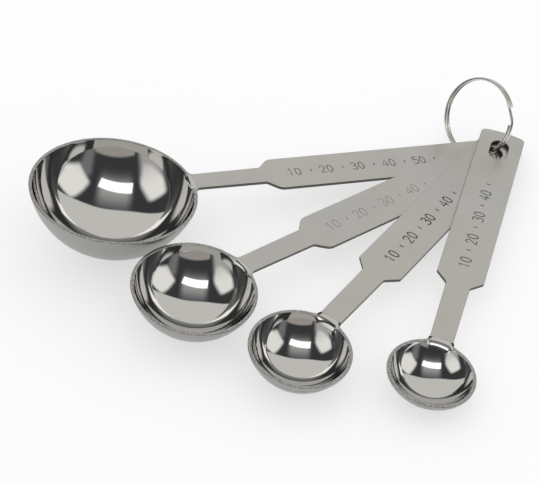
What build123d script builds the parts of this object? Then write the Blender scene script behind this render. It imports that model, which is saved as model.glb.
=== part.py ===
from build123d import *
from dataclasses import dataclass
from math import cos, sin, sqrt, radians, pi, tan, atan2
import os

os.makedirs("parts", exist_ok=True)

# A set of four measuring spoons fanned out on a table, threaded on one split ring.
# Lengths are in millimetres, angles in degrees. The table is the plane Z = 0, and the
# hub is the upright line through the ring's wire that the slots are placed from.

# The pressed sheet of every spoon
sheet = 0.9
edge_round = 0.15
rest_gap = 0.25

# The handle, alike on all four spoons apart from its length
handle_end_width = 13.2
handle_shoulder_width = 12.9
end_bulge = 0.9
end_corner_radius = 1.6
slot_length = 9.1
slot_width = 5.4
slot_to_end = 8.2
shoulder_length = 3.3
neck_shoulder_width = 6.5
neck_bowl_width = 6.1
neck_corner_radius = 1.2
neck_flare_radius = 1.5

# The bowls: round caps of a sphere, outer radius at the rim and outer depth
table_rim_radius = 22.75
table_depth = 17.9
tea_rim_radius = 16.45
tea_depth = 12.25
half_rim_radius = 13.2
half_depth = 9.9
quarter_rim_radius = 11.35
quarter_depth = 7.55

# From the middle of the slot to the middle of the bowl, and to the shoulder
table_slot_to_bowl = 112.1
table_slot_to_shoulder = 65.4
tea_slot_to_bowl = 106.85
tea_slot_to_shoulder = 65.85
half_slot_to_bowl = 102.55
half_slot_to_shoulder = 64.15
quarter_slot_to_bowl = 95.15
quarter_slot_to_shoulder = 58.5

# The two larger spoons have round shoulders, the two smaller ones straight ones
round_shoulder_radius = 3.2
crisp_shoulder_radius = 0.7

# The search for each handle's tilt starts between these two and halves its span
steepest_fall = -30
steepest_rise = 30
bisection_steps = 50

# How the spoons lie: the way each handle points from the hub to its bowl, how far it
# leans over to its near edge, and how far the middle of its slot is moved from the hub,
# ahead to the bowl and to its side
table_heading = 203.1
table_lean = -1.1
tea_heading = 221.3
tea_lean = -5.9
tea_slot_shift = 2.74
tea_side_shift = 0.07
half_heading = 237.9
half_lean = -5.6
half_slot_shift = 2.13
half_side_shift = 1.18
quarter_heading = 255.2
quarter_lean = -6.0
quarter_slot_shift = 0.2
quarter_side_shift = 2.35

# The split ring: two turns of round wire side by side, standing on the table
ring_radius = 11.5
ring_wire = 0.88
ring_turn_gap = 0.42
ring_heading = 221.4
ring_inclination = 64.3
ring_joggle_start = 18.0
ring_joggle_angle = 26.0
ring_seat_gap = 0.25
hub_height = 4.7
arcs_per_turn = 4
ring_samples = 240

# Where the hub stands, so that the whole set is centred over the origin
hub_x = 59.1
hub_y = 42.58


def heading_vector(angle):
    """Level unit vector that points along a heading."""
    return Vector(cos(radians(angle)), sin(radians(angle)), 0)


def beside_hub(heading, slot_shift, side_shift):
    """Middle of a slot that is moved ahead of the hub and to its side."""
    ahead = heading_vector(heading)
    return hub + ahead * slot_shift + Vector(0, 0, 1).cross(ahead) * side_shift


def plane_height(plane, spot):
    """Height of a plane over a spot of the table."""
    away = spot - plane.origin
    return plane.origin.Z - (plane.z_dir.X * away.X + plane.z_dir.Y * away.Y) / plane.z_dir.Z


# The ring's own frame: Z is its axis, X runs level to the hub's side and Y climbs
ring_pitch = ring_wire + ring_turn_gap
ring_axis = (heading_vector(ring_heading) * sin(radians(ring_inclination))
             + Vector(0, 0, cos(radians(ring_inclination))))
ring_level = Vector(0, 0, 1).cross(ring_axis).normalized()
ring_climb = ring_axis.cross(ring_level)
ring_middle_height = (ring_radius * ring_climb.Z + ring_pitch / 2 * ring_axis.Z
                      + ring_wire / 2)
hub_climb = (hub_height - ring_middle_height) / ring_climb.Z
hub_level = sqrt(ring_radius**2 - hub_climb**2)
hub = Vector(hub_x, hub_y, hub_height)
ring_middle = hub - ring_level * hub_level - ring_climb * hub_climb
ring_plane = Plane(origin=ring_middle, x_dir=ring_level, z_dir=ring_axis)
ring_foot = ring_middle - ring_climb * ring_radius


def turn_point(angle, side):
    """Point of a turn at an angle about the ring's axis, on one side of the band."""
    return Vector(ring_radius * cos(radians(angle)), ring_radius * sin(radians(angle)), side)


@dataclass
class Spoon:
    """Sizes of one spoon, with the way it lies."""
    name: str
    rim_radius: float
    depth: float
    slot_to_bowl: float
    slot_to_shoulder: float
    shoulder_radius: float
    heading: float
    lean: float
    slot_spot: Vector

    def sphere_radius(self):
        """Outer radius of the sphere that the bowl is a cap of."""
        return (self.rim_radius**2 + self.depth**2) / (2 * self.depth)

    def plane(self, tilt):
        """Top of the handle, with its origin in the slot and X along to the bowl.

        The bowl stands on the table whatever the tilt, which is taken as rising
        from the slot to the bowl.
        """
        ahead = heading_vector(self.heading) * cos(radians(tilt)) + Vector(0, 0, sin(radians(tilt)))
        level_side = Vector(0, 0, 1).cross(ahead).normalized()
        upright = ahead.cross(level_side)
        normal = upright * cos(radians(self.lean)) - level_side * sin(radians(self.lean))
        above_middle = self.sphere_radius() - self.depth
        rim_height = self.sphere_radius() - above_middle * normal.Z
        slot_height = rim_height - self.slot_to_bowl * ahead.Z
        origin = Vector(self.slot_spot.X, self.slot_spot.Y, slot_height)
        return Plane(origin=origin, x_dir=ahead, z_dir=normal)

    def footprints(self, plane):
        """Plan outlines of the handle's wide part and of its neck."""
        wide_start = -slot_to_end - end_bulge
        wide = [(wide_start, handle_end_width / 2), (wide_start, -handle_end_width / 2),
                (self.slot_to_shoulder, -handle_shoulder_width / 2),
                (self.slot_to_shoulder, handle_shoulder_width / 2)]
        rim_start = self.slot_to_bowl - self.rim_radius
        neck = [(self.slot_to_shoulder, handle_shoulder_width / 2),
                (self.slot_to_shoulder, -handle_shoulder_width / 2),
                (rim_start, -neck_bowl_width / 2), (rim_start, neck_bowl_width / 2)]
        return [[plane.from_local_coords(point) for point in outline] for outline in (wide, neck)]


def overlap_corners(outline, window):
    """Corners of the part of one convex outline that lies over another one."""
    corners = list(outline)
    for start, end in zip(window, window[1:] + window[:1]):
        run = end - start
        inside = [run.X * (p.Y - start.Y) - run.Y * (p.X - start.X) for p in corners]
        kept = []
        for index, point in enumerate(corners):
            following = (index + 1) % len(corners)
            if inside[index] >= 0:
                kept.append(point)
            if inside[index] * inside[following] < 0:
                share = inside[index] / (inside[index] - inside[following])
                kept.append(point + (corners[following] - point) * share)
        corners = kept
    return corners


def least_handle_gap(upper, upper_plane, lower, lower_plane):
    """Least height between the underside of one handle and the top of another."""
    gaps = []
    for outline in upper.footprints(upper_plane):
        for window in lower.footprints(lower_plane):
            for corner in overlap_corners(outline, window):
                underside = plane_height(upper_plane, corner) - sheet / upper_plane.z_dir.Z
                gaps.append(underside - plane_height(lower_plane, corner))
    return min(gaps, default=sheet)


def settle(spoon, spare_height):
    """Lower the slot end, by tilting the handle, until no height is to spare."""
    low_tilt, high_tilt = steepest_fall, steepest_rise
    for _ in range(bisection_steps):
        tilt = (low_tilt + high_tilt) / 2
        if spare_height(spoon.plane(tilt)) > 0:
            low_tilt = tilt
        else:
            high_tilt = tilt
    return spoon.plane(low_tilt)


# The table spoon: its slot is where the ring comes up, and the strip beside the slot
# rests on the ring where the ring stands on the table
strip_offset = (slot_width / 2 + handle_end_width / 2) / 2
table_ahead = heading_vector(table_heading)
table_side = Vector(0, 0, 1).cross(table_ahead)
foot_top = ring_foot.Z + ring_pitch / 2 * ring_axis.Z + ring_wire / 2 + ring_seat_gap
slot_climb = (foot_top + sheet / 2 - ring_foot.Z) / ring_climb.Z
slot_level = sqrt(2 * ring_radius * slot_climb - slot_climb**2)
table_slot_back = slot_level * ring_level.dot(table_ahead)
table_slot_spot = ring_foot + table_side * strip_offset + table_ahead * table_slot_back

table_spoon = Spoon("table_spoon", table_rim_radius, table_depth, table_slot_to_bowl,
                    table_slot_to_shoulder, round_shoulder_radius, table_heading,
                    table_lean, table_slot_spot)
tea_spoon = Spoon("tea_spoon", tea_rim_radius, tea_depth, tea_slot_to_bowl,
                  tea_slot_to_shoulder, round_shoulder_radius, tea_heading, tea_lean,
                  beside_hub(tea_heading, tea_slot_shift, tea_side_shift))
half_tea_spoon = Spoon("half_tea_spoon", half_rim_radius, half_depth, half_slot_to_bowl,
                       half_slot_to_shoulder, crisp_shoulder_radius, half_heading,
                       half_lean, beside_hub(half_heading, half_slot_shift, half_side_shift))
quarter_tea_spoon = Spoon("quarter_tea_spoon", quarter_rim_radius, quarter_depth,
                          quarter_slot_to_bowl, quarter_slot_to_shoulder,
                          crisp_shoulder_radius, quarter_heading, quarter_lean,
                          beside_hub(quarter_heading, quarter_slot_shift, quarter_side_shift))

# Each spoon settles in turn: the first on the ring, each next one on those below it
settled = []


def strip_gap(point):
    """Gap from the ring to the strip beside the slot, from a local point of the wire."""
    beside = max(-handle_end_width / 2 - point.Y, point.Y + slot_width / 2, 0)
    below = -sheet - point.Z
    if beside == 0:
        return below - ring_wire / 2
    return sqrt(beside**2 + max(below, 0)**2) - ring_wire / 2


def table_spare(plane):
    """Room left under the table spoon, over the ring's lower half and the table."""
    gaps = []
    for index in range(ring_samples):
        below_middle = -180 * index / ring_samples
        for side in (-ring_pitch / 2, ring_pitch / 2):
            wire_point = turn_point(below_middle, side)
            local = plane.to_local_coords(ring_plane.from_local_coords(wire_point))
            if abs(local.X) < slot_length / 2:
                gaps.append(strip_gap(local) - ring_seat_gap)
    for corner in table_spoon.footprints(plane)[0]:
        gaps.append(corner.Z - sheet * plane.z_dir.Z)
    return min(gaps)


table_plane = settle(table_spoon, table_spare)
settled.append((table_spoon, table_plane))
for spoon in (tea_spoon, half_tea_spoon, quarter_tea_spoon):
    def stack_spare(plane):
        """Height left over the named gap to every handle below."""
        return min(least_handle_gap(spoon, plane, *other) for other in settled) - rest_gap
    settled.append((spoon, settle(spoon, stack_spare)))


def handle_outline(spoon):
    """Where the shoulder ends, where the neck flares out and where it meets the rim."""
    shoulder_end = spoon.slot_to_shoulder + shoulder_length
    flare_side = neck_bowl_width / 2 + neck_flare_radius
    flare_reach = spoon.rim_radius + neck_flare_radius
    flare_x = spoon.slot_to_bowl - sqrt(flare_reach**2 - flare_side**2)
    to_bowl = Vector(spoon.slot_to_bowl - flare_x, -flare_side).normalized()
    touch = Vector(flare_x, flare_side) + to_bowl * neck_flare_radius
    bisector = (to_bowl + Vector(0, -1)).normalized()
    flare_mid = Vector(flare_x, flare_side) + bisector * neck_flare_radius
    return shoulder_end, flare_x, flare_mid, touch


def pressed_spoon(spoon, plane):
    """One spoon, pressed from one sheet: a flat slotted handle, a neck and a bowl."""
    shoulder_end, flare_x, flare_mid, touch = handle_outline(spoon)
    inside_x = touch.X + sheet
    outer_radius = spoon.sphere_radius()
    inner_radius = outer_radius - sheet
    above_middle = outer_radius - spoon.depth
    inner_rim = sqrt(inner_radius**2 - above_middle**2)
    inner_depth = spoon.depth - sheet
    bowl_middle = plane.from_local_coords((spoon.slot_to_bowl, 0))
    section_plane = Plane(origin=bowl_middle, x_dir=plane.x_dir, z_dir=-plane.y_dir)
    slant = (atan2(above_middle, spoon.rim_radius) + pi / 2) / 2
    inner_slant = (atan2(above_middle, inner_rim) + pi / 2) / 2
    with BuildPart() as piece:
        with BuildSketch(plane) as outline:
            with BuildLine():
                end = ThreePointArc((-slot_to_end, -handle_end_width / 2),
                                    (-slot_to_end - end_bulge, 0),
                                    (-slot_to_end, handle_end_width / 2))
                upper = Polyline(end @ 1,
                                 (spoon.slot_to_shoulder, handle_shoulder_width / 2),
                                 (shoulder_end, neck_shoulder_width / 2),
                                 (flare_x, neck_bowl_width / 2))
                upper_flare = ThreePointArc(upper @ 1, flare_mid, touch)
                closing = Polyline(upper_flare @ 1, (inside_x, touch.Y), (inside_x, -touch.Y),
                                   (touch.X, -touch.Y))
                lower_flare = ThreePointArc(closing @ 1, (flare_mid.X, -flare_mid.Y),
                                            (flare_x, -neck_bowl_width / 2))
                Polyline(lower_flare @ 1,
                         (shoulder_end, -neck_shoulder_width / 2),
                         (spoon.slot_to_shoulder, -handle_shoulder_width / 2),
                         end @ 0)
            make_face()
            fillet(outline.vertices().sort_by(Axis.X)[4:6], neck_corner_radius)
            fillet(outline.vertices().sort_by(Axis.X)[2:4], spoon.shoulder_radius)
            fillet(outline.vertices().sort_by(Axis.X)[:2], end_corner_radius)
        extrude(amount=-sheet)
        with BuildSketch(plane):
            SlotOverall(slot_length, slot_width)
        extrude(amount=-sheet, mode=Mode.SUBTRACT)
        flats = piece.faces().filter_by(Plane(origin=plane.origin, z_dir=plane.z_dir))
        fillet([edge for edge in flats.edges()
                if plane.to_local_coords(edge.center()).X < flare_x], edge_round)
        with BuildSketch(Plane(origin=bowl_middle, x_dir=plane.x_dir, z_dir=plane.z_dir)):
            Circle((inner_rim + spoon.rim_radius) / 2)
        extrude(amount=-sheet, mode=Mode.SUBTRACT)
        with BuildSketch(section_plane) as wall:
            with BuildLine():
                Line((inner_rim, 0), (spoon.rim_radius, 0))
                ThreePointArc((spoon.rim_radius, 0),
                              (outer_radius * cos(slant), above_middle - outer_radius * sin(slant)),
                              (0, -spoon.depth))
                Line((0, -spoon.depth), (0, -inner_depth))
                ThreePointArc((0, -inner_depth),
                              (inner_radius * cos(inner_slant),
                               above_middle - inner_radius * sin(inner_slant)),
                              (inner_rim, 0))
            make_face()
            fillet(wall.vertices().sort_by(Axis.Y)[-2:], edge_round)
        revolve(axis=Axis(bowl_middle, plane.z_dir))
    piece.part.label = spoon.name
    export_step(piece.part, "parts/" + spoon.name + ".step")
    return piece.part


for spoon, plane in settled:
    solid = pressed_spoon(spoon, plane)
    print(spoon.name, "volume", round(solid.volume, 1), "slot height", round(plane.origin.Z, 3),
          "valid", solid.is_valid)


def bulge_point(start, tangent, end):
    """Middle of the arc that leaves its start along a tangent and ends at a point."""
    chord = end - start
    straight = chord.normalized()
    lean_away = tangent - straight * tangent.dot(straight)
    if lean_away.length == 0:
        return start + chord / 2
    turn = atan2(lean_away.length, tangent.dot(straight))
    return start + chord / 2 + lean_away.normalized() * (chord.length / 2 * tan(turn / 2))


def turn_tangent(angle):
    """Way that the wire runs at an angle about the ring's axis."""
    return Vector(-sin(radians(angle)), cos(radians(angle)), 0)


# The route of the wire: one turn, a short joggle over to the other side, a second turn.
# Every stretch is an arc given by its start, a point in its middle and its end.
turn_angle = 360 - ring_joggle_angle
arc_angle = turn_angle / arcs_per_turn
joggle_end = ring_joggle_start + ring_joggle_angle
ring_arcs = []
for index in range(arcs_per_turn):
    start_angle = joggle_end + index * arc_angle
    ring_arcs.append([turn_point(start_angle + share * arc_angle, -ring_pitch / 2)
                      for share in (0, 0.5, 1)])
joggle_points = [turn_point(ring_joggle_start, -ring_pitch / 2),
                 turn_point(joggle_end, ring_pitch / 2)]
joggle_tangents = [turn_tangent(ring_joggle_start), turn_tangent(joggle_end)]
across = joggle_points[1] - joggle_points[0]
along = across.dot(joggle_tangents[0] + joggle_tangents[1])
spread = 2 * (1 - joggle_tangents[0].dot(joggle_tangents[1]))
reach = (sqrt(along**2 + spread * across.length**2) - along) / spread
joggle_middle = (joggle_points[0] + joggle_points[1]
                 + (joggle_tangents[0] - joggle_tangents[1]) * reach) / 2
ring_arcs.append([joggle_points[0],
                  bulge_point(joggle_points[0], joggle_tangents[0], joggle_middle),
                  joggle_middle])
ring_arcs.append([joggle_middle,
                  bulge_point(joggle_points[1], joggle_tangents[1] * -1, joggle_middle),
                  joggle_points[1]])
for index in range(arcs_per_turn):
    start_angle = joggle_end + index * arc_angle
    ring_arcs.append([turn_point(start_angle + share * arc_angle, ring_pitch / 2)
                      for share in (0, 0.5, 1)])

with BuildPart() as split_ring:
    with BuildLine() as route:
        for arc_points in ring_arcs:
            ThreePointArc([ring_plane.from_local_coords(point) for point in arc_points])
    start_plane = Plane(origin=route.wires()[0] @ 0, z_dir=route.wires()[0] % 0)
    with BuildSketch(start_plane):
        Circle(ring_wire / 2)
    sweep(path=route.wires()[0])
split_ring.part.label = "split_ring"
export_step(split_ring.part, "parts/split_ring.step")

# The least gap between the two turns, measured on points along the wire's middle
wire_line = route.wires()[0]
samples = [wire_line @ (index / ring_samples) for index in range(ring_samples + 1)]
apart = int(ring_samples / 4)
least_gap = min((samples[first] - samples[second]).length
                for first in range(len(samples)) for second in range(first + apart, len(samples)))
print("split ring wire length", round(wire_line.length, 2),
      "least gap to itself", round(least_gap - ring_wire, 3))
print("split ring volume", round(split_ring.part.volume, 2), "section times length",
      round(pi * ring_wire**2 / 4 * wire_line.length, 2), "valid", split_ring.part.is_valid)
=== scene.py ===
import bpy
import math
import numpy as np
from mathutils import Matrix


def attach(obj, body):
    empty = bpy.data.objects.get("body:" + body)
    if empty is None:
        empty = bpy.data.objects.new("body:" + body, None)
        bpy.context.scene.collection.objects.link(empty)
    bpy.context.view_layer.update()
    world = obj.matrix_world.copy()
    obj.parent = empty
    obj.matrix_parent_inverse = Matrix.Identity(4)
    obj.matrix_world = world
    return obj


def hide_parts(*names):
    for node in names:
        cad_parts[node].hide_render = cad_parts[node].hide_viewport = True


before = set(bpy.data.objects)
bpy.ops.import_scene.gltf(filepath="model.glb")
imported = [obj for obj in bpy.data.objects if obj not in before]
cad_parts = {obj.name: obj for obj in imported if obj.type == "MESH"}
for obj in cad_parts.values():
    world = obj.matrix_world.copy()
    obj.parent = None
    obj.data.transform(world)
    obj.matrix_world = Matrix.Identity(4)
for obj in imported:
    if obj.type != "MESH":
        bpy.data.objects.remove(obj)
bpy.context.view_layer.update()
print("stage: frame loaded")

# Sizes that all four spoons share, in metres
sheet = 0.0009
handleEndWidth = 0.0132
handleShoulderWidth = 0.0129
endBulge = 0.0009
endCornerRadius = 0.0016
slotLength = 0.0091
slotWidth = 0.0054
slotToEnd = 0.0082
shoulderLength = 0.0033
neckShoulderWidth = 0.0065
neckBowlWidth = 0.0061
neckCornerRadius = 0.0012
neckFlareRadius = 0.0015
edgeRound = 0.00016
outlineSpacing = 0.0006
endBulgeSides = (0.0043, 0.0022, 0.0, -0.0022, -0.0043)

# Points along a corner of the outline, a quarter circle of the slot's end, a flare, the end
# inside the rim, and the round of an edge
cornerPoints = 11
slotPoints = 13
flarePoints = 12
tonguePoints = 41
edgePoints = 5

# Where the flat sheet of a handle begins, in from its outline and from the slot, with one
# row close inside that and one just past the edge's round, and how the inset and the round
# shrink towards the tips of the flares
sheetInset = 0.00064
slotInsets = (0.0006, 0.0005)
secondShare = 0.94
roundMargin = 1.35
tipInset = 0.00002
insetSlope = 0.35
tipRound = 0.00001
roundSlope = 0.25

# The handle's hidden end inside the rim, and the fine gap before the neck's roll
hiddenInset = 0.00016
hiddenRound = 0.0001
hiddenReach = 0.00062
hiddenDrop = 0.00026
rollGap = 0.00004

# Points round a bowl and along its profile: how they crowd towards the rim on the outer
# cap, where the flat of the rim is divided, and how far up the inner round polish reaches
bowlColumns = 224
capPoints = 60
capCrowding = 1.3
innerTurnPoints = 11
outerTurnPoints = 7
flatPlaces = (0.08, 0.5, 0.92)
polishedRows = 3

# The bowl's rim: the part under the flares, the lip's ends and waves, the band of painted
# shade in the crease under the lip, and how polished the neck's roll is
flareCover = 0.0046
flareCoverBlend = 0.0008
squareRound = 0.00002
rollSpare = 0.00012
lipStart = 0.0004
lipStep = 0.0003
lipWaves = ((0.00012, 3, 1.0), (0.00008, 7, 0.0))
creaseDrop = 0.0002
creaseWidth = 0.00036
rollPolish = 0.9


# A shader node with its values set by socket name and its links made from sockets
def addNode(tree, kind, inputs=None, **settings):
    node = tree.nodes.new(kind)
    for key, value in settings.items():
        setattr(node, key, value)
    for key, value in (inputs or {}).items():
        if isinstance(value, bpy.types.NodeSocket):
            tree.links.new(value, node.inputs[key])
        else:
            node.inputs[key].default_value = value
    return node


# The result of one sum: a and b, and c where the operation takes three
def calc(tree, operation, a, b=0.0, c=0.0):
    node = addNode(tree, "ShaderNodeMath", {0: a, 1: b, 2: c}, operation=operation)
    return node.outputs[0]


# A value that goes from one result to another by a smooth step while the input runs over a
# span
def ramp(tree, value, low, high, resultLow=0.0, resultHigh=1.0):
    node = addNode(tree, "ShaderNodeMapRange",
                   {"Value": value, "From Min": low, "From Max": high,
                    "To Min": resultLow, "To Max": resultHigh}, interpolation_type="SMOOTHSTEP")
    return node.outputs["Result"]


# A colour that runs from the first to the second as the factor runs from 0 to 1
def mixColour(tree, factor, first, second):
    node = addNode(tree, "ShaderNodeMix", {0: factor, 6: first, 7: second}, data_type="RGBA")
    return node.outputs[2]


# Noise over a place, by its scale and its detail
def noise(tree, place, scale, detail=2.0):
    node = addNode(tree, "ShaderNodeTexNoise", {"Vector": place, "Scale": scale, "Detail": detail})
    return node.outputs["Fac"]


# A new material and its empty tree
def startMaterial(name):
    material = bpy.data.materials.new(name)
    material.use_nodes = True
    material.node_tree.nodes.clear()
    return material, material.node_tree


# Gives a shader to the material's surface
def endMaterial(tree, shader):
    outlet = tree.nodes.new("ShaderNodeOutputMaterial")
    tree.links.new(shader.outputs[0], outlet.inputs["Surface"])


# Mask of a convex figure: the product of one soft step for each of its sides
def figureMask(tree, u, v, corners, soft):
    mask = None
    for (u1, v1), (u2, v2) in zip(corners, corners[1:] + corners[:1]):
        length = math.hypot(u2 - u1, v2 - v1)
        across = calc(tree, "MULTIPLY_ADD", v, (u2 - u1) / length,
                      (u1 * (v2 - v1) - v1 * (u2 - u1)) / length)
        inside = calc(tree, "MULTIPLY_ADD", u, -(v2 - v1) / length, across)
        step = ramp(tree, inside, -soft, soft)
        mask = step if mask is None else calc(tree, "MULTIPLY", mask, step)
    return mask


# A mesh from points and faces, smooth, with one material
def addMesh(name, points, faces, material):
    mesh = bpy.data.meshes.new(name)
    mesh.from_pydata(points.tolist(), [], faces)
    mesh.polygons.foreach_set("use_smooth", np.ones(len(faces), dtype=bool))
    mesh.materials.append(material)
    mesh.update()
    piece = bpy.data.objects.new(name, mesh)
    bpy.context.scene.collection.objects.link(piece)
    return piece


# Faces of a grid of points, closed round its columns. A face's front is on the side that
# the rows' direction turned onto the columns' direction gives
def gridFaces(rows, columns, first=0):
    row = np.arange(rows - 1)[:, None]
    column = np.arange(columns)[None, :]
    following = (column + 1) % columns
    quads = np.stack([row * columns + column, (row + 1) * columns + column,
                      (row + 1) * columns + following, row * columns + following], axis=-1)
    return (quads.reshape(-1, 4) + first).tolist()


# Triangles that close one row of a grid onto a single point
def fanFaces(start, columns, tip, reverse=False):
    column = np.arange(columns)
    following = (column + 1) % columns
    if reverse:
        column, following = following, column
    return np.stack([np.full(columns, tip), column + start, following + start], axis=-1).tolist()


# A closed outline whose corners are arcs, with its straight runs divided evenly
def roundedLoop(corners, spacing):
    arcs = []
    for index, (x, y, radius) in enumerate(corners):
        corner = np.array([x, y])
        before = np.array(corners[index - 1][:2]) - corner
        after = np.array(corners[(index + 1) % len(corners)][:2]) - corner
        before /= np.linalg.norm(before)
        after /= np.linalg.norm(after)
        if radius == 0:
            arcs.append(corner[None, :])
            continue
        halfAngle = math.acos(np.clip(before @ after, -1, 1)) / 2
        middle = corner + (before + after) / np.linalg.norm(before + after) * radius / math.sin(halfAngle)
        start = corner + before * radius / math.tan(halfAngle) - middle
        end = corner + after * radius / math.tan(halfAngle) - middle
        startAngle = math.atan2(start[1], start[0])
        turn = (math.atan2(end[1], end[0]) - startAngle + math.pi) % (2 * math.pi) - math.pi
        angles = startAngle + turn * np.linspace(0, 1, cornerPoints)
        arcs.append(middle + radius * np.stack([np.cos(angles), np.sin(angles)], axis=-1))
    points = []
    for index, arc in enumerate(arcs):
        points.append(arc)
        start = arc[-1]
        end = arcs[(index + 1) % len(arcs)][0]
        count = int(np.linalg.norm(end - start) / spacing)
        share = np.linspace(0, 1, count + 2)[1:-1, None]
        points.append(start + (end - start) * share)
    return np.concatenate(points)


# Edge of the slot from its far end round, and the edge's normals away from the slot: two
# half circles whose middles lie half the slot's length less its half width from the centre
def slotEdge():
    half = slotWidth / 2
    endMiddle = slotLength / 2 - half
    ahead = np.linspace(0, math.pi / 2, slotPoints)
    behind = math.pi / 2 + np.linspace(0, math.pi, 2 * slotPoints - 1)
    turn = np.concatenate([ahead, behind, 1.5 * math.pi + ahead[:-1]])
    middles = np.full(len(turn), endMiddle)
    middles[len(ahead):len(ahead) + len(behind)] = -endMiddle
    normals = np.stack([np.cos(turn), np.sin(turn)], axis=-1)
    return normals * half + np.stack([middles, 0 * middles], axis=-1), normals


# Share of the neck's roll at a distance along the rim from the middle of the neck: a smooth
# step down, as wide as the blend, about half the roll's width
def rollShare(spoon, fromNeck):
    share = np.clip((spoon["rollWidth"] / 2 - fromNeck) / spoon["rollBlend"] + 0.5, 0, 1)
    return share**2 * (3 - 2 * share)


# Radius of the sphere outside a bowl, and the height of its middle over the rim: the
# radius is half of rim radius squared over depth, plus half the depth
def bowlSphere(spoon):
    outerRadius = (spoon["rimRadius"]**2 + spoon["depth"]**2) / (2 * spoon["depth"])
    return outerRadius, outerRadius - spoon["depth"]


# Distance from a bowl's axis to the middle of the circle that rounds its inner rim: the
# circle touches the rim's plane and the inner sphere from outside
def innerRim(spoon, rounding):
    outerRadius, above = bowlSphere(spoon)
    return np.sqrt((outerRadius - sheet + rounding)**2 - (above + rounding)**2)


# Outline of a handle with the two flares that run out onto the bowl's rim. Returns the
# points, how far each is from the nearer flare's tip, a mask of the end inside the rim, and
# the roll's share
def handleLoop(spoon):
    bowlX = spoon["slotToBowl"]
    shoulderEnd = spoon["slotToShoulder"] + shoulderLength
    flareSide = neckBowlWidth / 2 + neckFlareRadius
    flareReach = spoon["rimRadius"] + neckFlareRadius
    flareX = bowlX - math.sqrt(flareReach**2 - flareSide**2)
    touchAngle = math.atan2(-flareSide, bowlX - flareX)
    flareTurn = np.linspace(-math.pi / 2, touchAngle, flarePoints)
    upperFlare = (np.array([flareX, flareSide])
                  + neckFlareRadius * np.stack([np.cos(flareTurn), np.sin(flareTurn)], axis=-1))
    tongueAngles = np.linspace(math.pi - touchAngle, math.pi + touchAngle, tonguePoints)
    share = rollShare(spoon, np.abs(tongueAngles - math.pi) * spoon["rimRadius"])
    buried = spoon["rimRadius"] - hiddenReach
    rollStart = innerRim(spoon, spoon["neckRoll"]) + rollGap
    tongueRadius = buried + (rollStart - buried) * share
    tongue = (np.array([bowlX, 0])
              + tongueRadius[:, None] * np.stack([np.cos(tongueAngles), np.sin(tongueAngles)], axis=-1))
    bulgeSides = np.array(endBulgeSides)
    bulgeRadius = ((handleEndWidth / 2)**2 + endBulge**2) / (2 * endBulge)
    bulge = -slotToEnd - endBulge + bulgeRadius - np.sqrt(bulgeRadius**2 - bulgeSides**2)
    side = [(shoulderEnd, neckShoulderWidth / 2, neckCornerRadius),
            (spoon["slotToShoulder"], handleShoulderWidth / 2, spoon["shoulderRadius"]),
            (-slotToEnd, handleEndWidth / 2, endCornerRadius)]
    lower = [(x, -y, radius) for x, y, radius in side[::-1]]
    corners = [(x, y, 0) for x, y in upperFlare[::-1]] + side
    corners += [(x, y, 0) for x, y in zip(bulge, bulgeSides)] + lower
    corners += [(x, -y, 0) for x, y in upperFlare]
    corners += [(x, y, 0) for x, y in tongue]
    loop = roundedLoop(corners, outlineSpacing)
    onTongue = np.arange(len(loop)) >= len(loop) - len(tongue)
    tip = np.array([upperFlare[-1][0], upperFlare[-1][1]])
    toTip = np.minimum(np.linalg.norm(loop - tip, axis=1),
                       np.linalg.norm(loop - tip * np.array([1, -1]), axis=1))
    rolled = np.concatenate([np.zeros(len(loop) - len(tongue)), share])
    return loop, toTip, onTongue, rolled


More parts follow.
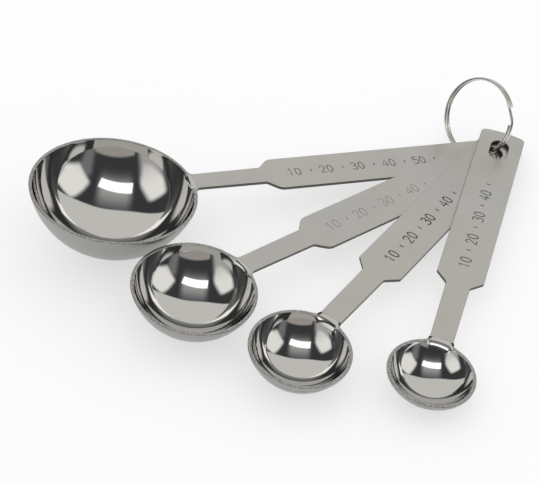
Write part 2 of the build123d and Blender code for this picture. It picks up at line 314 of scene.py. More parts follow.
# Closed surface of a handle: a rounded edge carried along the outline, another along the
# slot, and flat sheets between them in two halves that meet on the middle line. The
# rounding is a quarter circle, worn away to nothing where the flares meet the rim. Where
# the neck rolls into the bowl, the end slants in under the roll
def handleSurface(spoon):
    loop, toTip, onTongue, rolled = handleLoop(spoon)
    tangent = np.roll(loop, -1, axis=0) - np.roll(loop, 1, axis=0)
    tangent /= np.linalg.norm(tangent, axis=1)[:, None]
    normal = np.stack([tangent[:, 1], -tangent[:, 0]], axis=-1)
    normal[onTongue] = (1.0, 0.0)
    inset = np.minimum(np.where(onTongue, hiddenInset, sheetInset), tipInset + insetSlope * toTip)
    rounding = np.minimum(np.where(onTongue, hiddenRound, edgeRound), tipRound + roundSlope * toTip)
    lowered = np.where(onTongue, -hiddenDrop * (1 - rolled), 0.0)
    quarter = np.linspace(0, math.pi / 2, edgePoints)
    insets = [inset, inset * secondShare, rounding * roundMargin]
    insets += [rounding * (1 - math.sin(angle)) for angle in quarter]
    drops = [0 * inset, 0 * inset, lowered]
    drops += [lowered - rounding * (1 - math.cos(angle)) for angle in quarter]
    rollReach = innerRim(spoon, spoon["neckRoll"]) + rollGap + hiddenReach - spoon["rimRadius"]
    insets = np.array(insets + [each - rolled * rollReach for each in insets[::-1]])
    raised = [-sheet - drop + 2 * lowered for drop in drops[:1:-1]]
    drops = np.array(drops + raised + [-sheet + 0 * inset, -sheet + 0 * inset])
    rows, columns = insets.shape
    band = loop[None, :, :] - normal[None, :, :] * insets[:, :, None]
    points = [np.concatenate([band, drops[:, :, None]], axis=-1).reshape(-1, 3)]
    faces = gridFaces(rows, columns)
    slot, slotNormal = slotEdge()
    insets = np.array([*slotInsets, edgeRound * roundMargin]
                      + [edgeRound * (1 - math.sin(angle)) for angle in quarter])
    drops = np.array([0, 0, 0] + [edgeRound * (1 - math.cos(angle)) for angle in quarter])
    insets = np.concatenate([insets, insets[::-1]])
    heights = np.concatenate([drops - sheet, -drops[::-1]])
    slotRows, slotColumns = len(insets), len(slot)
    band = slot[None, :, :] + slotNormal[None, :, :] * insets[:, None, None]
    level = np.broadcast_to(heights[:, None, None], (slotRows, slotColumns, 1))
    points.append(np.concatenate([band, level], axis=-1).reshape(-1, 3))
    first = rows * columns
    faces += gridFaces(slotRows, slotColumns, first)
    near = np.abs(loop[:, 1])
    bowlTip = int(np.argmin(near + (loop[:, 0] < 0)))
    endTip = int(np.argmin(near + (loop[:, 0] > 0)))
    upper = np.arange(bowlTip, endTip + 1 + columns * (endTip < bowlTip)) % columns
    lower = np.arange(endTip, bowlTip + 1 + columns * (bowlTip < endTip)) % columns
    slotUpper = np.arange(slotColumns // 2, -1, -1)
    slotLower = np.arange(slotColumns, slotColumns // 2 - 1, -1) % slotColumns
    topSlot = first + (slotRows - 1) * slotColumns
    bottom = (rows - 1) * columns
    faces += [upper.tolist() + (topSlot + slotUpper).tolist(),
              lower.tolist() + (topSlot + slotLower).tolist()]
    faces += [((bottom + upper).tolist() + (first + slotUpper).tolist())[::-1],
              ((bottom + lower).tolist() + (first + slotLower).tolist())[::-1]]
    # The sheet's sides: the material darkens their colour as painted shade and makes them rougher
    sheared = rows // 2 - edgePoints + edgePoints // 2
    onEdge = (np.arange(rows) >= sheared) & (np.arange(rows) < rows - sheared)
    edge = np.concatenate([np.repeat(onEdge, columns), np.repeat(onEdge, slotColumns)])
    return np.concatenate(points), faces, edge.astype(float)


# Closed surface of a bowl: a profile of inner cap, rounded rim and outer cap, turned
# about the bowl's axis. The rounding of the inner rim grows where the neck rolls over into
# the bowl. Under the rim the outer cap stands out by a lip that ends in a smooth step
def bowlSurface(spoon):
    outerRadius, above = bowlSphere(spoon)
    innerRadius = outerRadius - sheet
    columns = bowlColumns
    around = np.arange(columns) * 2 * math.pi / columns
    fromNeck = np.abs(around - math.pi) * spoon["rimRadius"]
    rolled = rollShare(spoon, fromNeck)
    inner = (spoon["rimRound"] + (spoon["neckRoll"] - spoon["rimRound"]) * rolled)[:, None]
    neckShare = np.clip((flareCover - fromNeck) / flareCoverBlend, 0, 1)
    outer = (spoon["rimRound"] * (1 - neckShare) + squareRound * neckShare)[:, None]
    innerTouch = np.arccos((above + inner) / (innerRadius + inner))
    innerMiddle = innerRim(spoon, inner)
    outerTouch = np.arccos((above + outer) / (outerRadius - outer))
    outerMiddle = np.sqrt((outerRadius - outer)**2 - (above + outer)**2)
    outerMiddle = np.maximum(outerMiddle, innerMiddle + rollSpare * rolled[:, None])
    capShare = np.linspace(0, 1, capPoints)[None, 1:]
    capAngle = innerTouch * capShare
    parts = [(innerRadius * np.sin(capAngle), above - innerRadius * np.cos(capAngle))]
    turnShare = np.linspace(0, 1, innerTurnPoints)[None, 1:]
    startTurn = np.arctan2(np.cos(innerTouch), -np.sin(innerTouch))
    turn = startTurn + (math.pi / 2 - startTurn) * turnShare
    parts.append((innerMiddle + inner * np.cos(turn), -inner + inner * np.sin(turn)))
    flatShare = np.array(flatPlaces)[None, :]
    parts.append((innerMiddle + (outerMiddle - innerMiddle) * flatShare, 0 * innerMiddle * flatShare))
    endTurn = np.arctan2(-np.cos(outerTouch), np.sin(outerTouch))
    turn = math.pi / 2 + (endTurn - math.pi / 2) * np.linspace(0, 1, outerTurnPoints)[None, :]
    parts.append((outerMiddle + outer * np.cos(turn), -outer + outer * np.sin(turn)))
    capStart = outerTouch - sheet / outerRadius * rolled[:, None]
    capAngle = capStart * (1 - capShare[:, :-1]**capCrowding)
    fromRim = (outerTouch - capAngle) * outerRadius
    uneven = sum(size * np.sin(count * around[:, None] + start) for size, count, start in lipWaves)
    fromLip = fromRim - spoon["lipHeight"] - uneven
    ended = np.clip(fromLip / lipStep, 0, 1)
    begun = np.clip(fromRim / lipStart, 0, 1)
    lip = spoon["lip"] * (1 - ended**2 * (3 - 2 * ended)) * begun * (1 - neckShare[:, None])
    # A band just below the lip's end where the colour is darkened as painted shade
    creaseShade = np.exp(-((fromLip - creaseDrop) / creaseWidth)**2)
    parts.append(((outerRadius + lip) * np.sin(capAngle), above - (outerRadius + lip) * np.cos(capAngle)))
    radii = np.concatenate([part[0] for part in parts], axis=1)
    heights = np.concatenate([part[1] for part in parts], axis=1)
    rimRows = slice(parts[0][0].shape[1], radii.shape[1] - capAngle.shape[1])
    heights[:, rimRows] -= rollGap * neckShare[:, None]
    rows = radii.shape[1]
    x = spoon["slotToBowl"] + (radii * np.cos(around)[:, None]).T
    y = (radii * np.sin(around)[:, None]).T
    grid = np.stack([x, y, heights.T], axis=-1).reshape(-1, 3)
    tips = np.array([[spoon["slotToBowl"], 0, above - innerRadius],
                     [spoon["slotToBowl"], 0, -spoon["depth"]]])
    points = np.concatenate([grid, tips])
    faces = gridFaces(rows, columns)
    faces += fanFaces(0, columns, rows * columns)
    faces += fanFaces((rows - 1) * columns, columns, rows * columns + 1, reverse=True)
    rowIndex = np.arange(rows)[:, None] * np.ones((1, columns))
    lastPolished = rimRows.start + polishedRows
    onRoll = rowIndex < rimRows.start + turnShare.shape[1] + flatShare.shape[1]
    polish = np.where(rowIndex < lastPolished, 1.0, rollPolish * rolled[None, :] * onRoll)
    rim = ((rowIndex >= lastPolished) & (rowIndex < rimRows.stop)) * (1 - rolled[None, :])
    # The outer cap's mark: there the steel's colour is darkened as painted shade
    wall = (rowIndex >= rimRows.stop).astype(float)
    # Painted shade along the crease, as strong as the spoon's creaseShadeStrength
    creaseShadeGrid = np.zeros((rows, columns))
    creaseShadeGrid[rimRows.stop:] = creaseShade.T * spoon["creaseShadeStrength"]
    marks = {"polish": (polish, 1.0, 0.0), "rim": (rim, 0.0, 0.0),
             "wall": (wall, 0.0, 1.0), "creaseShade": (creaseShadeGrid, 0.0, 0.0)}
    return points, faces, {key: np.append(values.ravel(), ends) for key, (values, *ends) in marks.items()}


# Points of a spoon's own plane, as places in the scene: along the handle, to its side, and
# up from its face
def onPlane(spoon, local):
    along = np.array(spoon["along"])
    upright = np.array(spoon["upright"])
    side = np.cross(upright, along)
    return np.array(spoon["origin"]) + local @ np.stack([along, side, upright])


# One spoon: its handle and its bowl, laid on the spoon's own plane
def buildSpoon(name, spoon, material):
    handlePoints, handleFaces, handleEdge = handleSurface(spoon)
    bowlPoints, bowlFaces, bowlMarks = bowlSurface(spoon)
    bowlFaces = [[corner + len(handlePoints) for corner in face] for face in bowlFaces]
    local = np.concatenate([handlePoints, bowlPoints])
    piece = addMesh(name, onPlane(spoon, local), handleFaces + bowlFaces, material)
    bowlMarks["edge"] = np.zeros(len(bowlPoints))
    for key, onBowl in bowlMarks.items():
        onHandle = handleEdge if key == "edge" else np.zeros(len(handlePoints))
        layer = piece.data.attributes.new(key, "FLOAT", "POINT")
        layer.data.foreach_set("value", np.concatenate([onHandle, onBowl]))
    loops = np.zeros(len(piece.data.loops), dtype=np.int32)
    piece.data.loops.foreach_get("vertex_index", loops)
    uv = piece.data.uv_layers.new(name="sheetMap")
    uv.data.foreach_set("uv", local[loops][:, :2].ravel())
    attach(piece, spoon["node"])
    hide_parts(spoon["node"])
    print("stage:", name, "faces", len(piece.data.polygons))


grainLook = {
    "usual": (("Grain Scale", 2600.0), ("Blotch Scale", 90.0), ("Strength", 1.0)),
    "drawnOut": 0.35, "fineDetail": 3.0, "fineRough": 0.6, "blotchDetail": 4.0, "blotchRough": 0.55,
    "fineTone": 0.12, "blotchTone": 0.34, "fineShare": 0.5, "height": 3e-6,
}


# Fine grain of blasted steel: noise along the sheet, drawn out a little along the handle.
# Tone and Rough sit round 1, and Height is in metres
def makeGrainGroup(look):
    group = bpy.data.node_groups.new("steelGrain", "ShaderNodeTree")
    for name, usual in look["usual"]:
        socket = group.interface.new_socket(name=name, in_out="INPUT", socket_type="NodeSocketFloat")
        socket.default_value = usual
    for name in ("Tone", "Rough", "Height"):
        group.interface.new_socket(name=name, in_out="OUTPUT", socket_type="NodeSocketFloat")
    inlet = group.nodes.new("NodeGroupInput")
    outlet = group.nodes.new("NodeGroupOutput")
    place = addNode(group, "ShaderNodeUVMap", uv_map="sheetMap")
    drawn = addNode(group, "ShaderNodeMapping",
                    {"Vector": place.outputs["UV"], "Scale": (look["drawnOut"], 1.0, 1.0)})
    where = addNode(group, "ShaderNodeTexCoord")
    fine = addNode(group, "ShaderNodeTexNoise",
                   {"Vector": drawn.outputs["Vector"], "Scale": inlet.outputs["Grain Scale"],
                    "Detail": look["fineDetail"], "Roughness": look["fineRough"]})
    blotch = addNode(group, "ShaderNodeTexNoise",
                     {"Vector": where.outputs["Object"], "Scale": inlet.outputs["Blotch Scale"],
                      "Detail": look["blotchDetail"], "Roughness": look["blotchRough"]})
    fineAway = calc(group, "SUBTRACT", fine.outputs["Fac"], 0.5)
    blotchAway = calc(group, "SUBTRACT", blotch.outputs["Fac"], 0.5)
    both = calc(group, "MULTIPLY_ADD", fineAway, look["fineTone"],
                calc(group, "MULTIPLY", blotchAway, look["blotchTone"]))
    tone = calc(group, "MULTIPLY_ADD", both, inlet.outputs["Strength"], 1.0)
    uneven = calc(group, "MULTIPLY_ADD", fineAway, look["fineShare"], blotchAway)
    rough = calc(group, "MULTIPLY_ADD", uneven, inlet.outputs["Strength"], 1.0)
    height = calc(group, "MULTIPLY", fine.outputs["Fac"], look["height"])
    group.links.new(tone, outlet.inputs["Tone"])
    group.links.new(rough, outlet.inputs["Rough"])
    group.links.new(height, outlet.inputs["Height"])
    return group


hairlineLook = {
    "usual": (("Scale", 400.0), ("Amount", 0.5)),
    "ways": ((0.5, 0.06), (-0.9, 0.05)), "tilt": 0.3, "span": (0.62, 0.74),
}


# Hairline marks of polishing: two noises, each stretched far along its own way, where they
# are highest
def makeScratchGroup(look):
    group = bpy.data.node_groups.new("hairlines", "ShaderNodeTree")
    for name, usual in look["usual"]:
        socket = group.interface.new_socket(name=name, in_out="INPUT", socket_type="NodeSocketFloat")
        socket.default_value = usual
    group.interface.new_socket(name="Mask", in_out="OUTPUT", socket_type="NodeSocketFloat")
    inlet = group.nodes.new("NodeGroupInput")
    outlet = group.nodes.new("NodeGroupOutput")
    where = addNode(group, "ShaderNodeTexCoord")
    masks = []
    for turn, stretch in look["ways"]:
        turned = addNode(group, "ShaderNodeMapping",
                         {"Vector": where.outputs["Object"], "Rotation": (look["tilt"], turn, turn * 2),
                          "Scale": (stretch, 1.0, 1.0)})
        lines = noise(group, turned.outputs["Vector"], inlet.outputs["Scale"])
        masks.append(ramp(group, lines, *look["span"]))
    either = calc(group, "MAXIMUM", masks[0], masks[1])
    group.links.new(calc(group, "MULTIPLY", either, inlet.outputs["Amount"]), outlet.inputs["Mask"])
    return group


grainGroup = makeGrainGroup(grainLook)
scratchGroup = makeScratchGroup(hairlineLook)


# Steel of a spoon: satin all over, painted shade on the bowl's outer wall, sheared edges and
# crease under the lip, mirror polished where the polish attribute is 1, and tumbled at the rim
def spoonMaterial(name, look):
    material, tree = startMaterial(name)
    grain = addNode(tree, "ShaderNodeGroup",
                    {"Grain Scale": look["grainScale"], "Blotch Scale": look["blotchScale"],
                     "Strength": look["grainStrength"]}, node_tree=grainGroup)
    lines = addNode(tree, "ShaderNodeGroup", {"Scale": look["lineScale"], "Amount": look["lineAmount"]},
                    node_tree=scratchGroup)
    polish, rim, wall, edge, creaseShade = (
        addNode(tree, "ShaderNodeAttribute", attribute_name=key).outputs["Fac"]
        for key in ("polish", "rim", "wall", "edge", "creaseShade"))
    where = addNode(tree, "ShaderNodeTexCoord").outputs["Object"]
    pits = noise(tree, where, look["pitScale"])
    tumbled = calc(tree, "MULTIPLY", rim, ramp(tree, pits, *look["pitSpan"]))
    warmth = ramp(tree, noise(tree, where, look["warmScale"]), *look["warmSpan"])
    satin = mixColour(tree, warmth, look["satinColour"], look["warmColour"])
    # The outer wall, the sheared edges and the crease are darkened with painted shade; the rim's colours
    # are its tumbled finish
    for mask, colour in ((wall, "wallShadeColour"), (rim, "rimColour"), (tumbled, "rimSpark"),
                         (edge, "deepShadeColour"), (creaseShade, "deepShadeColour")):
        satin = mixColour(tree, mask, satin, look[colour])
    toned = addNode(tree, "ShaderNodeVectorMath", {0: satin, "Scale": grain.outputs["Tone"]},
                    operation="SCALE")
    colour = mixColour(tree, polish, toned.outputs[0], look["polishedColour"])
    satinRough = calc(tree, "MULTIPLY", grain.outputs["Rough"], look["satinRough"])
    satinRough = calc(tree, "MULTIPLY_ADD", tumbled, -look["sparkSmooth"], satinRough)
    satinRough = calc(tree, "MULTIPLY_ADD", edge, look["edgeRough"], satinRough)
    polishedRough = calc(tree, "MULTIPLY_ADD", lines.outputs["Mask"], look["lineRough"],
                         look["polishedRough"])
    between = calc(tree, "SUBTRACT", polishedRough, satinRough)
    rough = calc(tree, "MULTIPLY_ADD", between, polish, satinRough)
    height = calc(tree, "MULTIPLY", grain.outputs["Height"], calc(tree, "SUBTRACT", 1.0, polish))
    height = calc(tree, "MULTIPLY_ADD", calc(tree, "MULTIPLY", rim, pits), look["rimPits"], height)
    bump = addNode(tree, "ShaderNodeBump", {"Height": height, "Distance": 1.0, "Strength": look["bump"]})
    shader = addNode(tree, "ShaderNodeBsdfPrincipled",
                     {"Base Color": colour, "Roughness": rough, "Metallic": 1.0,
                      "Normal": bump.outputs["Normal"]})
    endMaterial(tree, shader)
    return material


# wallShadeColour is painted shade that darkens the bowl's outer wall
steelLook = {
    "grainScale": 1700.0, "blotchScale": 60.0, "grainStrength": 1.0,
    "lineScale": 420.0, "lineAmount": 0.5,
    "satinColour": (0.575, 0.57, 0.56, 1), "warmColour": (0.58, 0.565, 0.54, 1),
    # deepShadeColour is painted shade on the sheared edges and in the crease under the lip
    "wallShadeColour": (0.37, 0.366, 0.354, 1), "deepShadeColour": (0.14, 0.138, 0.133, 1),
    "rimColour": (0.33, 0.327, 0.32, 1), "rimSpark": (0.52, 0.515, 0.505, 1),
    "polishedColour": (0.66, 0.655, 0.64, 1),
    "pitScale": 2200.0, "pitSpan": (0.46, 0.62), "warmScale": 38.0, "warmSpan": (0.35, 0.65),
    "satinRough": 0.36, "polishedRough": 0.045, "sparkSmooth": 0.12, "edgeRough": 0.12, "lineRough": 0.10,
    "rimPits": 2.5e-5, "bump": 0.5,
}
spoonSteel = spoonMaterial("spoonSteel", steelLook)

# Strokes of the plain digits from 0 to 5, on a field one high
strokes = {
    "0": [[(0.3 + 0.25 * math.cos(turn), 0.5 + 0.5 * math.sin(turn))
           for turn in np.linspace(0, 2 * math.pi, 21)]],
    "1": [[(0.12, 0.78), (0.32, 1.0), (0.32, 0.0)]],
    "2": [[(0.06, 0.76), (0.12, 0.92), (0.28, 1.0), (0.46, 0.95), (0.54, 0.8), (0.5, 0.62), (0.34, 0.38),
           (0.04, 0.0), (0.57, 0.0)]],
    "3": [[(0.06, 0.9), (0.2, 1.0), (0.4, 0.99), (0.51, 0.87), (0.5, 0.68), (0.38, 0.56), (0.22, 0.53)],
          [(0.38, 0.52), (0.53, 0.4), (0.56, 0.2), (0.44, 0.04), (0.26, 0.0), (0.1, 0.04), (0.02, 0.16)]],
    "4": [[(0.42, 0.0), (0.42, 1.0), (0.02, 0.32), (0.6, 0.32)]],
    "5": [[(0.52, 1.0), (0.12, 1.0), (0.08, 0.56), (0.24, 0.64), (0.4, 0.62), (0.53, 0.5), (0.57, 0.3),
           (0.48, 0.1), (0.3, 0.0), (0.14, 0.01), (0.03, 0.1)]],
}
scaleLook = {"height": 0.0030, "advance": 0.00225, "stroke": 0.0004, "proud": 0.000012, "sunk": 0.00002,
             "firstGap": 0.0042, "pitch": 0.0100, "tick": 0.0012, "flatShare": 0.86, "mostWide": 1.5}


# One stroke: a flat-topped bar carried along a path. At a bend the bar's sides keep their
# distance, so the offset is divided by the cosine of half the bend, up to one and a half
def strokeBar(path, look):
    path = np.array(path)
    step = np.diff(path, axis=0)
    step /= np.linalg.norm(step, axis=1)[:, None]
    before = np.concatenate([step[:1], step])
    after = np.concatenate([step, step[-1:]])
    along = before + after
    along /= np.linalg.norm(along, axis=1)[:, None]
    widened = 1 / np.maximum(np.sum(along * after, axis=1), 1 / look["mostWide"])
    right = np.stack([along[:, 1], -along[:, 0]], axis=-1) * widened[:, None] * look["stroke"] / 2
    sides = np.array([1.0, look["flatShare"], -look["flatShare"], -1.0])
    levels = np.array([-look["sunk"], look["proud"], look["proud"], -look["sunk"]])
    grid = path[:, None, :] + right[:, None, :] * sides[None, :, None]
    height = np.broadcast_to(levels[None, :, None], (len(path), 4, 1))
    points = np.concatenate([grid, height], axis=-1).reshape(-1, 3)
    last = len(points) - 4
    faces = gridFaces(len(path), 4) + [[0, 1, 2, 3], [last + 3, last + 2, last + 1, last]]
    return points, faces


# A plain scale on a handle: round numbers ten millimetres apart with a short bar between,
# read from the bowl to the ring
def buildScale(name, spoon, numbers, material):
    look = scaleLook
    bars = []
    for index, number in enumerate(numbers):
        start = spoon["slotToShoulder"] - look["firstGap"] - index * look["pitch"]
        for place, digit in enumerate(number):
            for stroke in strokes[digit]:
                path = [(start - place * look["advance"] - a * look["height"], (0.5 - b) * look["height"])
                        for a, b in stroke]
                bars.append(strokeBar(path, look))
        middle = start - 0.5 * look["pitch"] - look["advance"]
        bars.append(strokeBar([(middle, -look["tick"] / 2), (middle, look["tick"] / 2)], look))
    counts = np.cumsum([0] + [len(points) for points, faces in bars])
    local = np.concatenate([points for points, faces in bars])
    faces = [[corner + first for corner in face]
             for first, (points, own) in zip(counts, bars) for face in own]
    piece = addMesh(name, onPlane(spoon, local), faces, material)
    piece.data.polygons.foreach_set("use_smooth", np.zeros(len(faces), dtype=bool))
    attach(piece, spoon["node"])
    print("stage:", name, "faces", len(piece.data.polygons))


burnLook = {
    "spotScale": 1100.0, "spotDetail": 3.0, "driftScale": 140.0, "share": 0.6, "wornSpan": (0.5, 0.78),
    "spotSpan": (0.3, 0.7), "roughSpan": (0.45, 0.65), "specular": 0.25,
}


# Burnt-in lettering colour: dark where the burn is deep, worn paler in small spots
def scaleMaterial(name, deep, worn):
    look = burnLook
    material, tree = startMaterial(name)
    where = addNode(tree, "ShaderNodeTexCoord").outputs["Object"]
    spots = noise(tree, where, look["spotScale"], look["spotDetail"])
    drift = noise(tree, where, look["driftScale"])
    both = calc(tree, "MULTIPLY_ADD", drift, look["share"], calc(tree, "MULTIPLY", spots, look["share"]))
    colour = mixColour(tree, ramp(tree, both, *look["wornSpan"]), deep, worn)
    rough = ramp(tree, spots, *look["spotSpan"], *look["roughSpan"])
    shader = addNode(tree, "ShaderNodeBsdfPrincipled",
                     {"Base Color": colour, "Roughness": rough, "Specular IOR Level": look["specular"]})
    endMaterial(tree, shader)
    return material


tableSpoon = {
    "node": "table_spoon",
    "origin": (0.0551772, 0.0445476, 0.0024664),
    "along": (-0.911001, -0.388575, 0.138157),
    "upright": (0.134589, 0.036536, 0.990228),
    "rimRadius": 0.02275, "depth": 0.0179,
    "slotToBowl": 0.1121, "slotToShoulder": 0.0654, "shoulderRadius": 0.0032,
    "rimRound": 0.0002, "neckRoll": 0.0014, "rollWidth": 0.0062, "rollBlend": 0.0016,
    "lip": 0.00003, "lipHeight": 0.0012, "creaseShadeStrength": 0.0,
}
buildSpoon("tableSpoon", tableSpoon, spoonSteel)
buildScale("tableScale", tableSpoon, ["10", "20", "30", "40", "50"],
           scaleMaterial("tableBurn", (0.09, 0.088, 0.083, 1), (0.2, 0.197, 0.19, 1)))

teaSpoon = {
    "node": "tea_spoon",
    "origin": (0.0570877, 0.040719, 0.0047335),
    "along": (-0.749384, -0.65835, 0.070705),
    "upright": (0.12068, -0.030806, 0.992213),
    "rimRadius": 0.01645, "depth": 0.01225,
    "slotToBowl": 0.10685, "slotToShoulder": 0.06585, "shoulderRadius": 0.0032,
    "rimRound": 0.0002, "neckRoll": 0.0016, "rollWidth": 0.0064, "rollBlend": 0.0016,
    "lip": 0.00005, "lipHeight": 0.0013, "creaseShadeStrength": 0.15,
}
buildSpoon("teaSpoon", teaSpoon, spoonSteel)
buildScale("teaScale", teaSpoon, ["10", "20", "30", "40"],
           scaleMaterial("teaBurn", (0.24, 0.235, 0.225, 1), (0.34, 0.335, 0.32, 1)))

halfTeaSpoon = {
    "node": "half_tea_spoon",
    "origin": (0.0589677, 0.0401486, 0.0057957),
    "along": (-0.530968, -0.846436, 0.040232),
    "upright": (0.103942, -0.017937, 0.994422),
    "rimRadius": 0.0132, "depth": 0.0099,
    "slotToBowl": 0.10255, "slotToShoulder": 0.06415, "shoulderRadius": 0.0007,
    "rimRound": 0.00018, "neckRoll": 0.0028, "rollWidth": 0.0066, "rollBlend": 0.0011,
    "lip": 0.00014, "lipHeight": 0.0014, "creaseShadeStrength": 0.7,
}
buildSpoon("halfTeaSpoon", halfTeaSpoon, spoonSteel)
buildScale("halfTeaScale", halfTeaSpoon, ["10", "20", "30", "40"],
           scaleMaterial("halfTeaBurn", (0.012, 0.012, 0.012, 1), (0.05, 0.049, 0.047, 1)))

quarterTeaSpoon = {
    "node": "quarter_tea_spoon",
    "origin": (0.0613209, 0.0417863, 0.0067673),
    "along": (-0.255437, -0.966788, 0.008502),
    "upright": (0.10322, -0.018527, 0.994486),
    "rimRadius": 0.01135, "depth": 0.00755,
    "slotToBowl": 0.09515, "slotToShoulder": 0.0585, "shoulderRadius": 0.0007,
    "rimRound": 0.00018, "neckRoll": 0.0032, "rollWidth": 0.0068, "rollBlend": 0.001,
    "lip": 0.00018, "lipHeight": 0.0014, "creaseShadeStrength": 0.9,
}
buildSpoon("quarterTeaSpoon", quarterTeaSpoon, spoonSteel)
buildScale("quarterTeaScale", quarterTeaSpoon, ["10", "20", "30", "40"],
           scaleMaterial("quarterTeaBurn", (0.055, 0.054, 0.052, 1), (0.15, 0.148, 0.143, 1)))


# Polished wire of the ring, with faint rubbed patches
def wireMaterial(name, look):
    material, tree = startMaterial(name)
    where = addNode(tree, "ShaderNodeTexCoord").outputs["Object"]
    rubbed = noise(tree, where, look["rubScale"], look["rubDetail"])
    rough = ramp(tree, rubbed, *look["rubSpan"], look["roughLow"], look["roughHigh"])
    colour = mixColour(tree, rubbed, look["colourLow"], look["colourHigh"])
    shader = addNode(tree, "ShaderNodeBsdfPrincipled",
                     {"Base Color": colour, "Roughness": rough, "Metallic": 1.0})
    endMaterial(tree, shader)
    return material


splitRing = {
    "node": "split_ring",
    "middle": (0.0554145, 0.0514065, 0.0110843),
    "level": (0.661312, -0.750111, 0.0),
    "climb": (0.325292, 0.286784, 0.901077),
    "axis": (-0.675908, -0.595893, 0.433659),
    "radius": 0.0115, "wire": 0.00088, "pitch": 0.0013,
    "joggleStart": 18.0, "joggleAngle": 26.0, "capShare": 0.18, "capNarrowing": 0.35,
    "stations": 720, "section": 20,
}
ringLook = {
    "rubScale": 700.0, "rubDetail": 4.0, "rubSpan": (0.35, 0.7), "roughLow": 0.1, "roughHigh": 0.24,
    "colourLow": (0.62, 0.60, 0.57, 1), "colourHigh": (0.78, 0.76, 0.73, 1),
}


# Closed tube along two turns of wire. The side of the band that the wire is on goes from
# one to the other by a smooth step over the joggle, and the ends are rounded off: there
# the wire's radius falls by a share of one minus the root of one minus the square of the
# way to its end
def buildRing(name, ring, material):
    fullTurn = 360
    start = ring["joggleStart"] + ring["joggleAngle"]
    end = start + 2 * fullTurn - ring["joggleAngle"]
    capLength = ring["wire"] * ring["capShare"]
    capAngle = math.degrees(capLength / ring["radius"])
    inCap = capAngle * np.sin(np.linspace(0, math.pi / 2, 6))
    between = np.linspace(start + capAngle, end - capAngle, ring["stations"])[1:-1]
    angles = np.concatenate([start + capAngle - inCap[::-1], between, end - capAngle + inCap])
    toEnd = np.minimum(angles - start, end - angles)
    share = np.clip(1 - toEnd / capAngle, 0, 1)
    narrowed = ring["capNarrowing"] * (1 - np.sqrt(np.maximum(1 - share**2, 0)))
    thick = ring["wire"] / 2 * (1 - narrowed)
    step = np.clip((angles - (ring["joggleStart"] + fullTurn)) / ring["joggleAngle"], 0, 1)
    side = ring["pitch"] * (step**2 * (3 - 2 * step) - 0.5)
    turn = np.radians(angles)[:, None]
    level, climb, axis = (np.array(ring[key]) for key in ("level", "climb", "axis"))
    radial = np.cos(turn) * level + np.sin(turn) * climb
    middle = np.array(ring["middle"]) + radial * ring["radius"] + side[:, None] * axis
    section = ring["section"]
    around = np.arange(section) * 2 * math.pi / section
    offset = (np.cos(around)[None, :, None] * radial[:, None, :]
              + np.sin(around)[None, :, None] * axis[None, None, :])
    grid = middle[:, None, :] + offset * thick[:, None, None]
    rows = len(angles)
    points = np.concatenate([grid.reshape(-1, 3), middle[:1], middle[-1:]])
    faces = gridFaces(rows, section) + fanFaces(0, section, rows * section)
    faces += fanFaces((rows - 1) * section, section, rows * section + 1, reverse=True)
    piece = addMesh(name, points, faces, material)
    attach(piece, ring["node"])
    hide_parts(ring["node"])
    print("stage:", name, "faces", len(piece.data.polygons))


buildRing("splitRing", splitRing, wireMaterial("ringSteel", ringLook))

# The floor: a pale matte sheet. What the camera, metal and glass see of it is partly plain
# white, so that it stays a white ground with a soft shadow
floorLook = {
    "size": 6.0, "colour": (0.97, 0.97, 0.97, 1), "shade": (0.955, 0.957, 0.96, 1),
    "cloudScale": 3.0, "rough": 0.9, "plain": 0.55,
}


def buildFloor(look):
    half = look["size"] / 2
    points = np.array([[-half, -half, 0], [half, -half, 0], [half, half, 0], [-half, half, 0]])
    material, tree = startMaterial("floorPaper")
    where = addNode(tree, "ShaderNodeTexCoord").outputs["Object"]
    colour = mixColour(tree, noise(tree, where, look["cloudScale"]), look["colour"], look["shade"])
    shader = addNode(tree, "ShaderNodeBsdfPrincipled",
                     {"Base Color": colour, "Roughness": look["rough"], "Specular IOR Level": 0.0})
    kind = addNode(tree, "ShaderNodeLightPath")
    seen = calc(tree, "MAXIMUM", kind.outputs["Is Camera Ray"],
                calc(tree, "MAXIMUM", kind.outputs["Is Glossy Ray"], kind.outputs["Is Transmission Ray"]))
    white = addNode(tree, "ShaderNodeEmission", {"Color": (1, 1, 1, 1), "Strength": 1.0})
    blend = addNode(tree, "ShaderNodeMixShader",
                    {0: calc(tree, "MULTIPLY", seen, look["plain"]),
                     1: shader.outputs[0], 2: white.outputs[0]})
    endMaterial(tree, blend)
    floor = addMesh("floor", points, [[0, 1, 2, 3]], material)


buildFloor(floorLook)
print("stage: floor")

